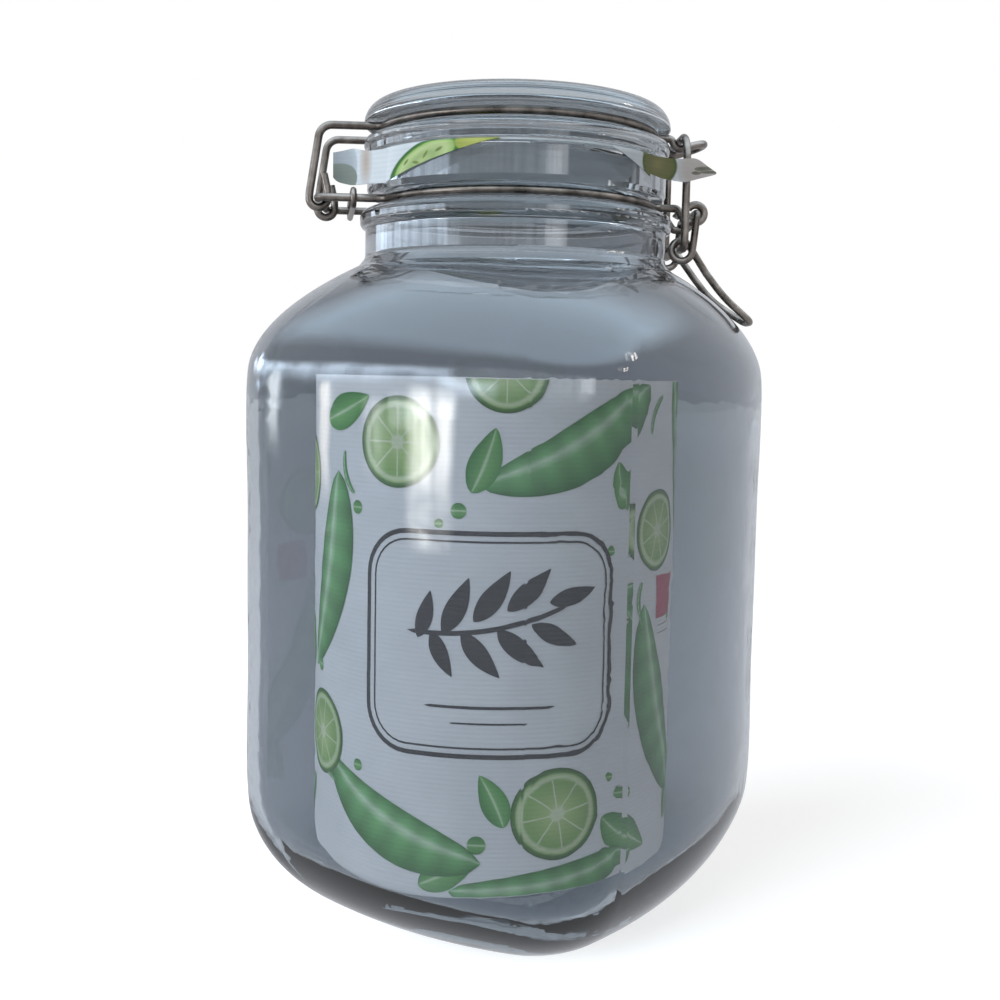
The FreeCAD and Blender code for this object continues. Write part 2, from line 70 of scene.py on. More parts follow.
def new_material(name):
    """An empty material and its node tree."""
    material = bpy.data.materials.new(name)
    material.use_nodes = True
    material.node_tree.nodes.clear()
    return material, material.node_tree


def finish_material(tree, surface):
    add(tree, "OutputMaterial", {"Surface": surface})


# ---------------------------------------------------------------- materials


def pressed_glass(name, tints_and_painted_light):
    """Machine-pressed soda-lime glass: clear with a blue-grey tint, given at heights in mm. The tint is
    deepest in the thick foot; where it is lighter from the jar's shoulder up to the mouth, that is painted
    light.
    It is faintly wavy where the mould chilled it, which streaks what is behind it."""
    material, tree = new_material(name)
    place = add(tree, "TexCoord").outputs["Object"]
    height = add(tree, "SeparateXYZ", {0: place}).outputs[2]
    ramp_height = 300       # mm, a little more than the closed jar's height
    up = add(tree, "Math", {0: height, 1: ramp_height * MM}, operation="DIVIDE").outputs[0]
    stops = [(level / ramp_height, linear(colour)) for level, colour in tints_and_painted_light]
    # tint by height: deeper in the thick foot, and lighter towards the jar's mouth as painted light
    tint_and_painted_light = add(tree, "ValToRGB", {0: up}, stops=stops).outputs[0]
    # waves about 25 mm across and half as high
    stretched = add(tree, "Mapping", {"Vector": place, "Scale": (1.0, 1.0, 2.2)}).outputs[0]
    waves = add(tree, "TexNoise", {
        "Vector": stretched, "Scale": 38.0, "Detail": 1.5, "Roughness": 0.4}).outputs[0]
    bump = add(tree, "Bump", {"Height": waves, "Strength": 0.14, "Distance": 0.5 * MM}).outputs[0]
    glass = add(tree, "BsdfPrincipled", {
        "Base Color": tint_and_painted_light, "Roughness": 0.012, "IOR": 1.52,
        "Transmission Weight": 1.0, "Normal": bump}).outputs[0]
    # light reaches what stands in the glass as through a clear pane
    pane = add(tree, "BsdfTransparent", {"Color": linear("#f8fafb")}).outputs[0]
    path = add(tree, "LightPath")
    lit = add(tree, "Math", {0: path.outputs["Is Shadow Ray"], 1: path.outputs["Is Diffuse Ray"]},
              operation="MAXIMUM").outputs[0]
    finish_material(tree, add(tree, "MixShader", {0: lit, 1: glass, 2: pane}).outputs[0])
    return material


def drawn_steel_wire():
    """Drawn steel wire with a dull plating: satin, with soft warm-grey patches where the
    plating has dulled and fine scratches from bending."""
    material, tree = new_material("drawn_steel_wire")
    place = add(tree, "TexCoord").outputs["Object"]
    # dull patches about 6 mm long, and scratches of 0.7 mm
    patches = add(tree, "TexNoise", {"Vector": place, "Scale": 160.0, "Detail": 3.0}).outputs[0]
    colour = add(tree, "ValToRGB", {0: patches},
                 stops=[(0.35, linear("#5d5650")), (0.65, linear("#8f867e"))]).outputs[0]
    rough = add(tree, "MapRange", {0: patches, 1: 0.3, 2: 0.7, 3: 0.26, 4: 0.42}).outputs[0]
    scratches = add(tree, "TexNoise", {"Vector": place, "Scale": 1400.0, "Detail": 2.0}).outputs[0]
    bump = add(tree, "Bump", {"Height": scratches, "Strength": 0.25, "Distance": 0.04 * MM}).outputs[0]
    finish_material(tree, add(tree, "BsdfPrincipled", {
        "Base Color": colour, "Metallic": 1.0, "Roughness": rough, "Normal": bump}).outputs[0])
    return material


rib_spacing = 1.5       # mm; real laid paper is a little finer, but this is as fine as shows


def paper_relief(tree, ribs):
    """Fine ribs across the paper, as strong as given, and the grain of its pulp."""
    place = add(tree, "TexCoord").outputs["Object"]
    height = add(tree, "SeparateXYZ", {0: place}).outputs[2]
    per_metre = 2 * math.pi / (rib_spacing * MM)
    turn = add(tree, "Math", {0: height, 1: per_metre}, operation="MULTIPLY").outputs[0]
    rib = add(tree, "Math", {0: turn}, operation="SINE").outputs[0]
    # clumps of pulp 1.1 mm across
    pulp = add(tree, "TexNoise", {"Vector": place, "Scale": 900.0, "Detail": 2.0}).outputs[0]
    relief = add(tree, "Math", {0: rib, 1: ribs, 2: pulp}, operation="MULTIPLY_ADD").outputs[0]
    bump = add(tree, "Bump", {"Height": relief, "Strength": 0.3, "Distance": 0.06 * MM}).outputs[0]
    return place, rib, bump


def ribbed_paper(name, shadow, light, ribs, spots=()):
    """Laid paper: matt, with fine ribs across it and soft mottling of its pulp."""
    material, tree = new_material(name)
    place, rib, bump = paper_relief(tree, ribs)
    # mottling 22 mm across, with a trace of the ribs in it
    mottle = add(tree, "TexNoise", {"Vector": place, "Scale": 45.0, "Detail": 3.0}).outputs[0]
    mixed = add(tree, "Math", {0: rib, 1: 0.04, 2: mottle}, operation="MULTIPLY_ADD").outputs[0]
    shade = add(tree, "ValToRGB", {0: mixed}, stops=[(0.3, linear(shadow)), (0.7, linear(light))]).outputs[0]
    # the spots are print, and painted shade on the sheet's curled corner by the hinge
    shade = round_spots(tree, place, shade, spots)
    finish_material(tree, add(tree, "BsdfPrincipled", {
        "Base Color": shade, "Roughness": 0.78, "Specular IOR Level": 0.3, "Normal": bump}).outputs[0])
    return material


def round_spots(tree, place, paper, spots):
    """Print and painted shade on the sheet: each spot is a middle and half sizes (along, through,
    up) in mm, how far its long axis rises in degrees, and its colour rings from the middle outward."""
    for middle, half_sizes, rise, rings in spots:
        # the sheet runs round the neck, so a spot lies across the radius at its middle
        along = math.atan2(middle[1], middle[0]) + math.pi / 2
        spot = add(tree, "Mapping", {
            "Vector": place, "Location": [c * MM for c in middle],
            "Rotation": (0.0, -math.radians(rise), along),
            "Scale": [c * MM for c in half_sizes]}, vector_type="TEXTURE").outputs[0]
        # 0 at the spot's middle and 1 at its rim
        share = add(tree, "VectorMath", {0: spot}, operation="LENGTH").outputs["Value"]
        # the ramp runs to twice the spot's size, so that its last colour is clear of the rim
        half = add(tree, "Math", {0: share, 1: 0.5}, operation="MULTIPLY").outputs[0]
        stops = [(at * 0.5, linear(colour)) for at, colour in rings]
        colour = add(tree, "ValToRGB", {0: half}, stops=stops).outputs[0]
        inside = add(tree, "MapRange", {0: share, 1: 1.05, 2: 0.97, 3: 0.0, 4: 1.0}).outputs[0]
        paper = add(tree, "Mix", {0: inside, 6: paper, 7: colour}, data_type="RGBA").outputs[2]
    return paper


def ink(name, paint):
    """Water-colour print on the laid paper: matt, and a little uneven where the paper took
    less of it. paint(tree, u, v, place) gives its colour, u and v along and across a motif."""
    material, tree = new_material(name)
    place, _, bump = paper_relief(tree, 1.0)
    across = add(tree, "SeparateXYZ", {0: add(tree, "TexCoord").outputs["UV"]})
    colour = paint(tree, across.outputs[0], across.outputs[1], place)
    # washed-out places about 17 mm across
    worn = add(tree, "TexNoise", {"Vector": place, "Scale": 60.0, "Detail": 4.0}).outputs[0]
    faded = add(tree, "MapRange", {0: worn, 1: 0.35, 2: 0.7, 3: 0.82, 4: 1.12}).outputs[0]
    washed = add(tree, "Mix", {6: colour, 7: faded}, data_type="RGBA", blend_type="MULTIPLY").outputs[2]
    finish_material(tree, add(tree, "BsdfPrincipled", {
        "Base Color": washed, "Roughness": 0.7, "Specular IOR Level": 0.35, "Normal": bump}).outputs[0])
    return material


def paint_pod(tree, u, v, place):
    """Dark at its edges, a long light along its upper side, and a row of faint rounds."""
    across = add(tree, "ValToRGB", {0: v}, stops=[
        (0.0, linear("#3f7f45")), (0.2, linear("#5b9f5b")), (0.52, linear("#7dbd77")),
        (0.68, linear("#cbe6c0")), (0.78, linear("#82c07c")), (1.0, linear("#478a4a"))]).outputs[0]
    seeds = 7
    swell = add(tree, "Math", {0: u, 1: seeds * 2 * math.pi}, operation="MULTIPLY").outputs[0]
    rounds = add(tree, "Math", {0: swell}, operation="SINE").outputs[0]
    tone = add(tree, "MapRange", {0: rounds, 1: -1.0, 2: 1.0, 3: 0.86, 4: 1.1}).outputs[0]
    return add(tree, "Mix", {0: 1.0, 6: across, 7: tone},
               data_type="RGBA", blend_type="MULTIPLY").outputs[2]


def paint_leaf(tree, u, v, place):
    """Fresh green, with a light vein down its middle."""
    return add(tree, "ValToRGB", {0: v}, stops=[
        (0.0, linear("#4f9a4c")), (0.42, linear("#7cba6b")), (0.5, linear("#cfe6bd")),
        (0.58, linear("#6fb163")), (1.0, linear("#3f8a44"))]).outputs[0]


def paint_slice(tree, u, v, place):
    """A round of fruit: dark peel, pale pith, and wedges with light walls between them."""
    x = add(tree, "Math", {0: u, 1: 0.5}, operation="SUBTRACT").outputs[0]
    y = add(tree, "Math", {0: v, 1: 0.5}, operation="SUBTRACT").outputs[0]
    angle = add(tree, "Math", {0: y, 1: x}, operation="ARCTAN2").outputs[0]
    spot = add(tree, "CombineXYZ", {0: x, 1: y}).outputs[0]
    # 0 in the middle and 0.5 at the rim
    radius = add(tree, "VectorMath", {0: spot}, operation="LENGTH").outputs["Value"]
    wedges = 8
    wedge = add(tree, "Math", {0: angle, 1: wedges / 2}, operation="MULTIPLY").outputs[0]
    wave = add(tree, "Math", {0: wedge}, operation="SINE").outputs[0]
    wall = add(tree, "Math", {0: wave}, operation="ABSOLUTE").outputs[0]
    near_wall = add(tree, "Math", {0: wall, 1: radius}, operation="MULTIPLY").outputs[0]
    fleshy = add(tree, "MapRange", {0: near_wall, 1: 0.012, 2: 0.05, 3: 0.0, 4: 1.0}).outputs[0]
    pith_radius = 0.38
    rings = add(tree, "ValToRGB", {0: radius}, stops=[
        (0.0, linear("#e4edc6")), (0.06, linear("#e4edc6")), (0.1, linear("#b9d38a")),
        (0.36, linear("#94bd6c")), (0.4, linear("#dbe9bd")), (0.43, linear("#c3dc9c")),
        (0.455, linear("#5d8f45")), (0.5, linear("#38672f"))]).outputs[0]
    inside = add(tree, "Math", {0: radius, 1: pith_radius}, operation="LESS_THAN").outputs[0]
    bare = add(tree, "Math", {0: 1.0, 1: fleshy}, operation="SUBTRACT").outputs[0]
    walled = add(tree, "Math", {0: inside, 1: bare}, operation="MULTIPLY").outputs[0]
    return add(tree, "Mix", {0: walled, 6: rings, 7: linear("#e0ebc4")}, data_type="RGBA").outputs[2]


def paint_plain(dark, light):
    """One colour, with fine lighter specks where the paper's grain took less of it."""
    def paint(tree, u, v, place):
        # specks of 2 mm
        speck = add(tree, "TexNoise", {"Vector": place, "Scale": 500.0, "Detail": 2.0}).outputs[0]
        return add(tree, "ValToRGB", {0: speck},
                   stops=[(0.35, linear(dark)), (0.75, linear(light))]).outputs[0]
    return paint


# the tint is deepest in the thick foot; the lighter tint from the shoulder up to the mouth is painted light
jar_glass = pressed_glass("pressed_jar_glass", [
    (0, "#6e7a85"), (14, "#76838e"), (34, "#9ca3ab"), (170, "#9ca3ab"), (225, "#aeb2b6")])
lid_glass = pressed_glass("pressed_lid_glass", [(240, "#a3a6a8"), (275, "#94989b")])
wire = drawn_steel_wire()
label_paper = ribbed_paper("laid_label_paper", "#ebebea", "#f7f7f5", 1.0)
flesh_rings = [(0.0, "#8fa070"), (0.3, "#7c9262"), (0.62, "#98a97a"), (0.78, "#7d9a5c"),
               (0.84, "#3d6430"), (1.0, "#264820")]
seed_rings = [(0.0, "#55663a"), (0.7, "#67784a"), (1.0, "#8a9c6a")]
mark_rings = [(0.0, "#4c4c44"), (1.0, "#6a6a60")]
dark_green_rings = [(0.0, "#6f6f4c"), (0.4, "#626344"), (0.8, "#575c3a"), (1.0, "#3c4a29")]
sheet_paper = ribbed_paper("laid_sheet_paper", "#a2abb0", "#b6bec3", 0.6, [
    # a long slice with its seeds, and the end of a paler one
    ((-31.5, -40.6, 253.6), (15.5, 9.0, 5.6), 22, flesh_rings),
    ((-30.5, -41.3, 255.4), (1.7, 9.0, 0.6), 50, seed_rings),
    ((-26.5, -44.0, 256.6), (1.7, 9.0, 0.6), 25, seed_rings),
    ((-33.5, -39.0, 253.2), (1.7, 9.0, 0.6), -10, seed_rings),
    ((-36.5, -36.2, 253.6), (1.5, 9.0, 0.5), 40, seed_rings),
    ((-15.0, -49.0, 259.5), (7.0, 9.0, 4.0), 10, [(0.0, "#979f5c"), (1.0, "#7e8b44")]),
    # the corner by the hinge: painted shade, beige where the paper curls and grey on its shaded end; below
    # it a darker grey-green, print showing through the underside with painted shade on it
    ((-49.9, -21.2, 256.0), (3.6, 9.0, 9.0), 0, [(0.0, "#958d86"), (0.5, "#a09c98"), (1.0, "#aab2b6")]),
    ((-60.5, -12.8, 255.5), (8.5, 9.0, 9.0), 0, [(0.0, "#858f97"), (0.7, "#8d969c"), (1.0, "#9aa4aa")]),
    ((-59.0, -13.6, 251.6), (6.0, 9.0, 4.6), -8, [(0.0, "#656e6a"), (1.0, "#6c7670")]),
    # the corner by the clamp: a warm grey, darker at its middle, a dark green print, and three small printed
    # marks
    ((60.0, -22.6, 256.5), (10.5, 9.0, 9.0), 0, [(0.0, "#8c8783"), (0.7, "#989592"), (1.0, "#a3a7a9")]),
    ((43.6, -28.4, 256.6), (8.2, 9.0, 6.5), 0, dark_green_rings),
    ((59.0, -22.8, 256.4), (0.9, 9.0, 0.7), 30, mark_rings),
    ((61.3, -23.2, 255.3), (0.7, 9.0, 0.5), 0, mark_rings),
    ((57.2, -22.8, 255.0), (0.6, 9.0, 0.6), 0, mark_rings),
])
green_pod_ink = ink("green_pod_ink", paint_pod)
green_leaf_ink = ink("green_leaf_ink", paint_leaf)
round_slice_ink = ink("round_slice_ink", paint_slice)
grey_ink = ink("grey_ink", paint_plain("#3d3d3f", "#474749"))
rose_ink = ink("rose_ink", paint_plain("#c2425f", "#de4d6e"))

finishes = {
    "glass_jar": jar_glass, "glass_lid": lid_glass,
    "neck_wire": wire, "hinge_tie": wire, "lid_wire": wire, "clamp_lever": wire, "clamp_link": wire,
    "rolled_label": label_paper, "printed_sheet": sheet_paper,
}
for name, material in finishes.items():
    for slot in nodes[name].material_slots:
        slot.material = material

# ---------------------------------------------------------------- the print on the label

label_low, label_high = (corner.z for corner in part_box("rolled_label"))
label_axis = Vector((-5.3 * MM, -3.0 * MM, 0.0))
label_front = -93.0          # direction that the design's middle faces, degrees
label_seam = 96.0            # direction of the paper's outer end, degrees
label_radius = 61.0          # mm, at the outer end
label_creep = 0.9 / 384      # mm that the rolled paper comes in per degree
ink_lift = 0.12              # mm that the print stands off the paper
print_margin = 0.3           # mm of bare paper along the upper and lower edge
widest_motif = 45            # degrees of the roll that half of the widest motif takes up


def alone(piece):
    """Make the piece the only one selected, and the active one."""
    bpy.ops.object.select_all(action="DESELECT")
    piece.select_set(True)
    bpy.context.view_layer.objects.active = piece


def settle(piece):
    """Put the object's place, turn and size into its mesh."""
    alone(piece)
    bpy.ops.object.transform_apply(location=True, rotation=True, scale=True)


def pick(piece, kind, test):
    """Go to edit mode and select the vertices, edges or faces that pass a test."""
    bpy.ops.object.mode_set(mode="EDIT")
    bpy.ops.mesh.select_mode(type=kind)
    bpy.ops.mesh.select_all(action="DESELECT")
    bpy.ops.object.mode_set(mode="OBJECT")
    mesh = piece.data
    parts = {"VERT": mesh.vertices, "EDGE": mesh.edges, "FACE": mesh.polygons}[kind]
    for part in parts:
        part.select = test(part)
    bpy.ops.object.mode_set(mode="EDIT")


def bend_flat(piece, angle):
    """Bend a piece about Z by an angle over its whole extent along X."""
    bend = piece.modifiers.new("bend", "SIMPLE_DEFORM")
    bend.deform_method = "BEND"
    bend.deform_axis = "Z"
    bend.angle = angle
    bpy.ops.object.modifier_apply(modifier=bend.name)


def flat_grid(name, length, width, columns, rows):
    """A flat rectangle of faces, in mm."""
    bpy.ops.object.select_all(action="DESELECT")
    bpy.ops.mesh.primitive_grid_add(x_subdivisions=columns, y_subdivisions=rows, size=1.0)
    piece = bpy.context.object
    piece.name = name
    piece.scale = (length * MM, width * MM, 1.0)
    settle(piece)
    return piece


def spindle(name, length, width, fullness, lean, curve, material):
    """A flat shape along X, pointed at both ends and curved in its plane: a grid whose
    columns are drawn in. It serves for pods, leaves, stems and rules. Sizes in mm; a low
    fullness gives blunt ends, lean moves the widest place, and curve is in degrees."""
    columns = 24
    tip = 0.03              # share of the width left at the pointed ends
    piece = flat_grid(name, length, width, columns, 6)
    step = length * MM / columns
    for i in range(columns + 1):
        column = -length * MM / 2 + i * step
        swell = max(math.sin(math.pi * (i / columns) ** lean), 0.0) ** fullness
        pick(piece, "VERT", lambda vertex: abs(vertex.co.x - column) < step * 0.3)
        bpy.ops.transform.resize(value=(1.0, swell + tip, 1.0))
    bpy.ops.object.mode_set(mode="OBJECT")
    if curve:
        bend_flat(piece, math.radians(curve))
    piece.data.materials.append(material)
    return piece


def disc(name, radius, material):
    """A flat disc in rings of faces, so that it can follow the roll of the paper."""
    bpy.ops.object.select_all(action="DESELECT")
    bpy.ops.mesh.primitive_circle_add(vertices=40, radius=radius * MM, fill_type="NGON")
    piece = bpy.context.object
    piece.name = name
    ring = 0.21 * radius * MM
    for _ in range(4):
        pick(piece, "FACE", lambda face: len(face.vertices) > 4)
        bpy.ops.mesh.inset(thickness=ring)
    bpy.ops.object.mode_set(mode="OBJECT")
    piece.data.materials.append(material)
    return piece


def outline(name, width, height, corner, line, material):
    """A flat line round a rectangle with rounded corners, all in mm."""
    bpy.ops.object.select_all(action="DESELECT")
    bpy.ops.mesh.primitive_plane_add(size=1.0)
    piece = bpy.context.object
    piece.name = name
    piece.scale = (width * MM, height * MM, 1.0)
    settle(piece)
    bpy.ops.object.mode_set(mode="EDIT")
    bpy.ops.mesh.select_all(action="SELECT")
    bpy.ops.mesh.bevel(affect="VERTICES", offset=corner * MM, segments=8)
    # the straight sides, which have to follow the roll of the paper
    side = 4 * MM

    def straight(edge):
        start, end = (piece.data.vertices[i].co for i in edge.vertices)
        return (start - end).length > side

    pick(piece, "EDGE", straight)
    bpy.ops.mesh.subdivide(number_cuts=15)
    pick(piece, "FACE", lambda face: True)
    bpy.ops.mesh.inset(thickness=line * MM)
    bpy.ops.mesh.delete(type="FACE")
    bpy.ops.object.mode_set(mode="OBJECT")
    piece.data.materials.append(material)
    return piece


def tablet(name, width, height, material):
    """A flat rectangle, in columns that can follow the roll of the paper. Sizes in mm."""
    piece = flat_grid(name, width, height, 8, 2)
    piece.data.materials.append(material)
    return piece


def cut(piece, place, normal):
    """Remove what lies beyond a plane, on the side that its normal points to."""
    alone(piece)
    bpy.ops.object.mode_set(mode="EDIT")
    bpy.ops.mesh.select_all(action="SELECT")
    bpy.ops.mesh.bisect(plane_co=place, plane_no=normal, clear_outer=True)
    bpy.ops.object.mode_set(mode="OBJECT")


def printed(motif, along, up, tilt, size):
    """Copies of a flat motif, laid on the rolled label: so far along it from the middle of
    its front, and so far up from its lower edge, in mm. What runs over an edge is cut, and
    what crosses the paper's outer end lies partly on the outer layer, partly on the inner."""
    azimuth = label_front + math.degrees(along / label_radius)
    past_seam = (azimuth - label_seam + 180) % 360 - 180
    lowest, highest = label_low + print_margin * MM, label_high - print_margin * MM
    pieces = []
    for side in ((-1, 1) if abs(past_seam) < widest_motif else (0,)):
        bpy.ops.object.select_all(action="DESELECT")
        piece = motif.copy()
        piece.data = motif.data.copy()
        bpy.context.scene.collection.objects.link(piece)
        piece.scale = (size, size, 1.0)
        piece.rotation_euler = (0.0, 0.0, math.radians(tilt))
        settle(piece)
        piece.rotation_euler = (math.pi / 2, 0.0, 0.0)
        piece.location.z = label_low + up * MM
        settle(piece)
        heights = [vertex.co.z for vertex in piece.data.vertices]
        if min(heights) < lowest:
            cut(piece, (0, 0, lowest), (0, 0, -1))
        if max(heights) > highest:
            cut(piece, (0, 0, highest), (0, 0, 1))
        # degrees from the paper's outer end, which say how far in the paper lies here
        rolled = (azimuth - label_seam) % 360
        if side:
            cut(piece, (-math.radians(past_seam) * label_radius * MM, 0, 0), (-side, 0, 0))
            rolled = max(past_seam, 0) if side > 0 else 360 + min(past_seam, 0)
        if not piece.data.vertices:
            bpy.data.objects.remove(piece)
            continue
        radius = (label_radius - label_creep * rolled + ink_lift) * MM
        spread = [vertex.co.x for vertex in piece.data.vertices]
        alone(piece)
        bend_flat(piece, (max(spread) - min(spread)) / radius)
        piece.location.y = -radius
        settle(piece)
        piece.rotation_euler.z = math.radians(azimuth + 90)
        piece.location = label_axis
        settle(piece)
        pieces.append(piece)
    return pieces


def joined(name, parts, body):
    """One piece of all its parts, which rides on a body."""
    alone(parts[0])
    for part in parts:
        part.select_set(True)
    bpy.ops.object.join()
    piece = bpy.context.object
    piece.name = name
    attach(piece, body)


def print_label():
    """The design: pods, slices, leaves and drops round a frame with a sprig in it, and a
    small patch beside it, all on the front half of the roll and again on the far half."""
    pod = spindle("pod", 70, 19, 0.55, 1.15, 40, green_pod_ink)
    stalk = spindle("stalk", 15, 2.0, 0.3, 1.0, -70, green_pod_ink)
    leaf = spindle("leaf", 26, 12, 0.8, 0.8, 14, green_leaf_ink)
    slice_motif = disc("slice", 14, round_slice_ink)
    drop = disc("drop", 2.4, green_leaf_ink)
    grey_leaf = spindle("grey_leaf", 19, 6.4, 0.9, 0.8, 12, grey_ink)
    grey_stem = spindle("grey_stem", 52, 1.5, 0.1, 1.0, 30, grey_ink)
    frame_out = outline("frame_out", 82, 70, 15, 1.5, grey_ink)
    frame_in = outline("frame_in", 76, 64, 12, 0.6, grey_ink)
    rule = spindle("rule", 40, 0.9, 0.05, 1.0, 0, grey_ink)
    patch = tablet("patch", 13, 14, rose_ink)
    # each stamp is a motif, how far along and up in mm, its tilt in degrees and its size
    places = {
        "label_pods": [
            (pod, 28, 139, 28, 0.95), (stalk, 58, 151, 60, 1.0),
            (pod, -60, 96, 74, 1.0), (stalk, -52, 130, 110, 1.0),
            (pod, -34, 20, -24, 0.95), (stalk, -64, 33, 140, 1.0),
            (pod, 62, 54, -68, 1.05), (stalk, 51, 90, 95, 1.0),
            (pod, 20, 1, 8, 0.9), (pod, -90, 14, 35, 0.5), (pod, 84, 140, 100, 0.85)],
        "label_slices": [
            (slice_motif, -30, 141, 0, 1.0), (slice_motif, 62, 113, 20, 0.95),
            (slice_motif, -67, 44, 35, 1.0), (slice_motif, 22, 27, 10, 1.05),
            (slice_motif, -84, 128, 5, 0.9), (slice_motif, 4, 163, 0, 0.9)],
        "label_leaves": [
            (leaf, -2, 136, 70, 0.8), (leaf, -52, 150, 20, 0.9), (leaf, -12, 8, 30, 0.8),
            (leaf, 48, 16, -35, 0.9), (leaf, 2, 32, 115, 0.7), (leaf, -84, 74, 95, 0.9),
            (leaf, 83, 24, 60, 1.0), (leaf, 44, 128, -80, 0.6)],
        "label_drops": [
            (drop, -10, 121, 0, 1.0), (drop, -16, 117, 0, 0.6), (drop, -46, 120, 0, 0.9),
            (drop, 40, 108, 0, 0.7), (drop, 47, 30, 0, 0.9), (drop, 42, 36, 0, 0.6),
            (drop, -3, 18, 0, 1.2), (drop, -45, 38, 0, 0.8), (drop, -70, 66, 0, 1.0),
            (drop, 74, 84, 0, 0.8)],
        "label_frame": [
            (frame_out, 0, 80, 0, 1.0), (frame_in, 0, 80, 0, 1.0), (grey_stem, 0, 85, 10, 1.0),
            (grey_leaf, -20, 89, 75, 0.8), (grey_leaf, -10, 92, 65, 1.0), (grey_leaf, 1, 95, 55, 1.0),
            (grey_leaf, 12, 97, 45, 0.95), (grey_leaf, 26, 95, 15, 0.85), (grey_leaf, -15, 77, -65, 0.8),
            (grey_leaf, -3, 77, -50, 0.95), (grey_leaf, 9, 79, -40, 0.95), (grey_leaf, 20, 83, -25, 0.85),
            (rule, 0, 61, 0, 1.0), (rule, 0, 56, 0, 0.6)],
        "label_patch": [(patch, 69, 91, 0, 1.0), (rule, 69, 81.5, 0, 0.25), (rule, 69, 79, 0, 0.25)],
    }
    half_way = math.pi * label_radius
    for name, stamps in places.items():
        copies = [piece for far in (0, half_way) for motif, along, *rest in stamps
                  for piece in printed(motif, along + far, *rest)]
        joined(name, copies, "jar")
    for motif in (pod, stalk, leaf, slice_motif, drop, grey_leaf, grey_stem,
                  frame_out, frame_in, rule, patch):
        bpy.data.objects.remove(motif)


print_label()

# ---------------------------------------------------------------- floor, world, lamps, camera


def white_to_the_eye(tree):
    """1 for rays that show the background: straight, mirrored, or through the glass."""
    path = add(tree, "LightPath")
    seen = path.outputs["Is Camera Ray"]
    for name in ("Is Glossy Ray", "Is Transmission Ray"):
        seen = add(tree, "Math", {0: seen, 1: path.outputs[name]}, operation="MAXIMUM").outputs[0]
    return seen


def make_floor():
    """A wide pale floor. Mirrored in the glass, the room's own light shows in its place."""
    bpy.ops.mesh.primitive_circle_add(vertices=64, radius=12.0, fill_type="NGON", location=(0, 0, 0))
    floor = bpy.context.object
    floor.name = "floor"
    floor.visible_glossy = False
    material, tree = new_material("pale_floor")
    card = add(tree, "BsdfDiffuse", {"Color": linear("#cfd0d1")}).outputs[0]
    # the lamps light the middle more than the far floor, which is lifted to the same white
    place = add(tree, "TexCoord").outputs["Object"]
    away = add(tree, "VectorMath", {0: place}, operation="LENGTH").outputs["Value"]
    share = add(tree, "MapRange", {0: away, 1: 0.5, 2: 4.0, 3: 0.55, 4: 0.82}).outputs[0]
    lift = add(tree, "Math", {0: white_to_the_eye(tree), 1: share}, operation="MULTIPLY").outputs[0]
    glow = add(tree, "Emission", {"Color": (1, 1, 1, 1), "Strength": lift}).outputs[0]
    finish_material(tree, add(tree, "AddShader", {0: card, 1: glow}).outputs[0])
    floor.data.materials.append(material)


def window_light(tree, way, azimuth, elevation, half_width, half_height, soft_side, soft_end):
    """1 inside a soft-edged window of the sky, given in degrees, and 0 outside it."""
    turn, rise = math.radians(azimuth), math.radians(elevation)
    ahead = add(tree, "VectorMath", {0: way, 1: (math.cos(turn), math.sin(turn), 0)},
                operation="DOT_PRODUCT")
    aside = add(tree, "VectorMath", {0: way, 1: (-math.sin(turn), math.cos(turn), 0)},
                operation="DOT_PRODUCT")
    height = add(tree, "SeparateXYZ", {0: way}).outputs[2]
    above = add(tree, "Math", {0: height, 1: math.sin(rise)}, operation="SUBTRACT").outputs[0]
    shape = add(tree, "Math", {0: ahead.outputs["Value"], 1: 0.0}, operation="GREATER_THAN").outputs[0]
    for distance, reach, soft in ((aside.outputs["Value"], half_width, soft_side),
                                  (above, half_height, soft_end)):
        size = add(tree, "Math", {0: distance}, operation="ABSOLUTE").outputs[0]
        limit, edge = math.radians(reach), math.radians(soft)
        inside = add(tree, "MapRange", {0: size, 1: limit + edge, 2: limit - edge, 3: 0.0, 4: 1.0},
                     interpolation_type="SMOOTHSTEP").outputs[0]
        shape = add(tree, "Math", {0: shape, 1: inside}, operation="MULTIPLY").outputs[0]
    return shape


# azimuth, elevation, half width, half height, softness at the sides and at the ends, all
# in degrees; then strength and colour
windows = [
    (176, 7.6, 36, 3.0, 1.5, 2.6, 7.4, "#cfe0f2"),
    (219, 4.0, 6, 1.6, 1.5, 1.8, 6.5, "#d8e4f2"),
    (211, -2.4, 4.8, 4.0, 1.6, 1.8, 15.0, "#fffdf8"),
    (204, -0.6, 2.4, 1.6, 1.0, 1.0, 6.0, "#f4f8fc"),
    (185, -1.4, 1.2, 4.0, 0.9, 1.5, 9.0, "#fff6ea"),
    (170, 0.5, 1.6, 3.6, 1.0, 2.0, 6.0, "#eef4fb"),
    (198, -2.2, 2.4, 2.4, 1.4, 1.6, 4.0, "#f4f6f8"),
    (-63, 7.5, 8.0, 3.4, 1.5, 1.2, 3.2, "#f2f6fb"),
    (-105, 8.0, 38, 5.0, 8.0, 2.0, 1.2, "#dfe8f0"),
    (-18, 15.5, 1.0, 1.8, 0.4, 0.5, 14.0, "#fff8ee"),
    (-14, 15.5, 1.0, 1.8, 0.4, 0.5, 14.0, "#fff8ee"),
    (-3, 25.0, 1.2, 3.0, 0.5, 0.8, 14.0, "#fff8ee"),
    (2, 25.0, 1.2, 3.0, 0.5, 0.8, 14.0, "#fff8ee"),
]


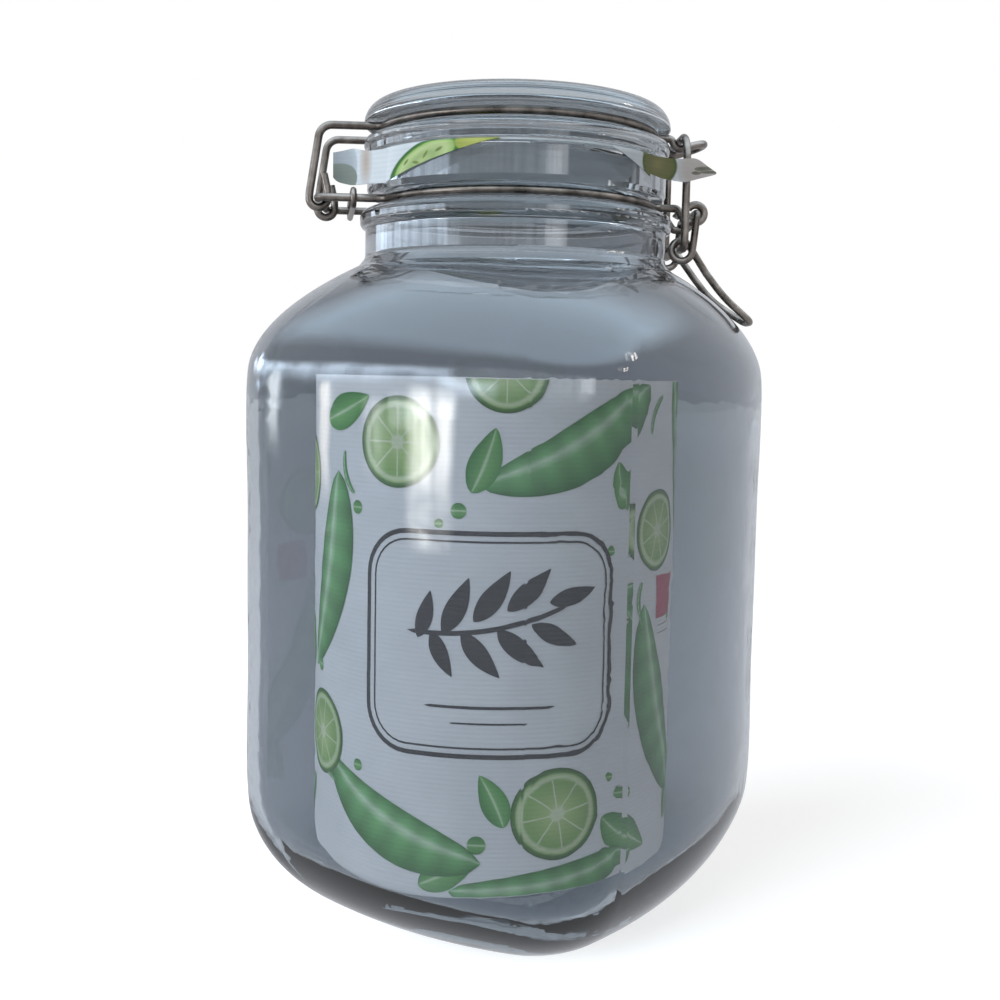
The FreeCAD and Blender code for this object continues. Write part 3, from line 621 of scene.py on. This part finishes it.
def make_world():
    """An even white studio. What the glass and the wire mirror of it is a room: dimmer than
    the backdrop low down, open blue sky high up on the side of the viewer, and windows."""
    world = bpy.data.worlds.new("studio")
    bpy.context.scene.world = world
    world.cycles.sampling_method = "NONE"
    world.use_nodes = True
    tree = world.node_tree
    tree.nodes.clear()
    way = add(tree, "TexCoord").outputs["Generated"]
    axes = add(tree, "SeparateXYZ", {0: way})
    high = add(tree, "MapRange", {0: axes.outputs[2], 1: 0.36, 2: 0.58, 3: 0.0, 4: 1.0},
               interpolation_type="SMOOTHSTEP").outputs[0]
    near = add(tree, "MapRange", {0: axes.outputs[1], 1: 0.6, 2: 0.3, 3: 0.0, 4: 1.0}).outputs[0]
    open_sky = add(tree, "Math", {0: high, 1: near}, operation="MULTIPLY").outputs[0]
    dim_room, blue_sky = (0.66, 0.68, 0.72, 1.0), (2.25, 2.75, 3.2, 1.0)
    room = add(tree, "ValToRGB", {0: open_sky}, stops=[(0.0, dim_room), (1.0, blue_sky)]).outputs[0]
    path = add(tree, "LightPath")
    light = add(tree, "Mix", {0: path.outputs["Is Glossy Ray"], 6: (1, 1, 1, 1), 7: room},
                data_type="RGBA").outputs[2]
    # full white for the eye, and half as strong as light on matt surfaces
    strength = add(tree, "MapRange", {
        0: white_to_the_eye(tree), 1: 0.0, 2: 1.0, 3: 0.5, 4: 1.0}).outputs[0]
    sky = add(tree, "Background", {"Color": light, "Strength": strength}).outputs[0]
    # soft windows round the room, which only show as reflections
    upright = add(tree, "Mapping", {"Vector": way, "Scale": (1.0, 1.0, 0.25)}).outputs[0]
    streaks = add(tree, "TexNoise", {"Vector": upright, "Scale": 14.0, "Detail": 3.0}).outputs[0]
    uneven = add(tree, "MapRange", {0: streaks, 1: 0.35, 2: 0.65, 3: 0.45, 4: 1.2}).outputs[0]
    mirrored = add(tree, "Math", {0: path.outputs["Is Glossy Ray"], 1: uneven},
                   operation="MULTIPLY").outputs[0]
    for *place, power, colour in windows:
        shape = window_light(tree, way, *place)
        level = add(tree, "Math", {0: shape, 1: power}, operation="MULTIPLY").outputs[0]
        shown = add(tree, "Math", {0: level, 1: mirrored}, operation="MULTIPLY").outputs[0]
        window = add(tree, "Background", {"Color": linear(colour), "Strength": shown}).outputs[0]
        sky = add(tree, "AddShader", {0: sky, 1: window}).outputs[0]
    add(tree, "OutputWorld", {"Surface": sky})


def lamp(name, place, size, power, colour):
    """A soft box aimed at the middle of the jar: it lights matt surfaces, and the glass
    neither mirrors nor shows it. Sizes in metres."""
    light = bpy.data.lights.new(name, "AREA")
    light.shape = "RECTANGLE"
    light.size = light.size_y = size
    light.energy = power
    light.color = linear(colour)[:3]
    made = bpy.data.objects.new(name, light)
    made.visible_glossy = False
    made.visible_transmission = False
    bpy.context.scene.collection.objects.link(made)
    made.location = place
    made.rotation_euler = (jar_middle - Vector(place)).to_track_quat("-Z", "Y").to_euler()


def make_camera():
    """The camera stands close in front, a little above the jar's middle, and looks down a
    little at it."""
    pitch, yaw, roll = 0.0966, 0.0073, 0.01936      # radians: down, to the right, rolled to the left
    turn = Matrix.Rotation(math.radians(-3.0), 3, "Z")
    stand = Vector((0.0, -0.444, 0.1878))
    ahead = Vector((math.sin(yaw) * math.cos(pitch), math.cos(yaw) * math.cos(pitch), -math.sin(pitch)))
    right = Vector((math.cos(yaw), -math.sin(yaw), 0.0))
    above = right.cross(ahead)
    tilted_right = right * math.cos(roll) + above * math.sin(roll)
    tilted_above = above * math.cos(roll) - right * math.sin(roll)
    data = bpy.data.cameras.new("camera")
    data.lens = 45.88
    data.sensor_width = 36.0
    data.shift_x = -0.02
    data.clip_start = 0.01
    camera = bpy.data.objects.new("camera", data)
    bpy.context.scene.collection.objects.link(camera)
    facing = Matrix((turn @ tilted_right, turn @ tilted_above, turn @ -ahead)).transposed()
    camera.matrix_world = Matrix.Translation(turn @ stand) @ facing.to_4x4()
    bpy.context.scene.camera = camera


make_floor()
make_world()
jar_middle = Vector((0.0, 0.0, 0.15))
lamp("soft_key", (-1.25, -0.85, 1.35), 1.2, 44.0, "#f2f7ff")
lamp("soft_fill", (1.3, -0.8, 0.8), 1.0, 3.5, "#ffe9d8")
make_camera()
# light crosses up to eight walls of glass, and is turned back inside the thick foot
light_paths = bpy.context.scene.cycles
light_paths.max_bounces = 18
light_paths.transmission_bounces = 18
light_paths.glossy_bounces = 10
bpy.context.scene.view_settings.view_transform = "Standard"
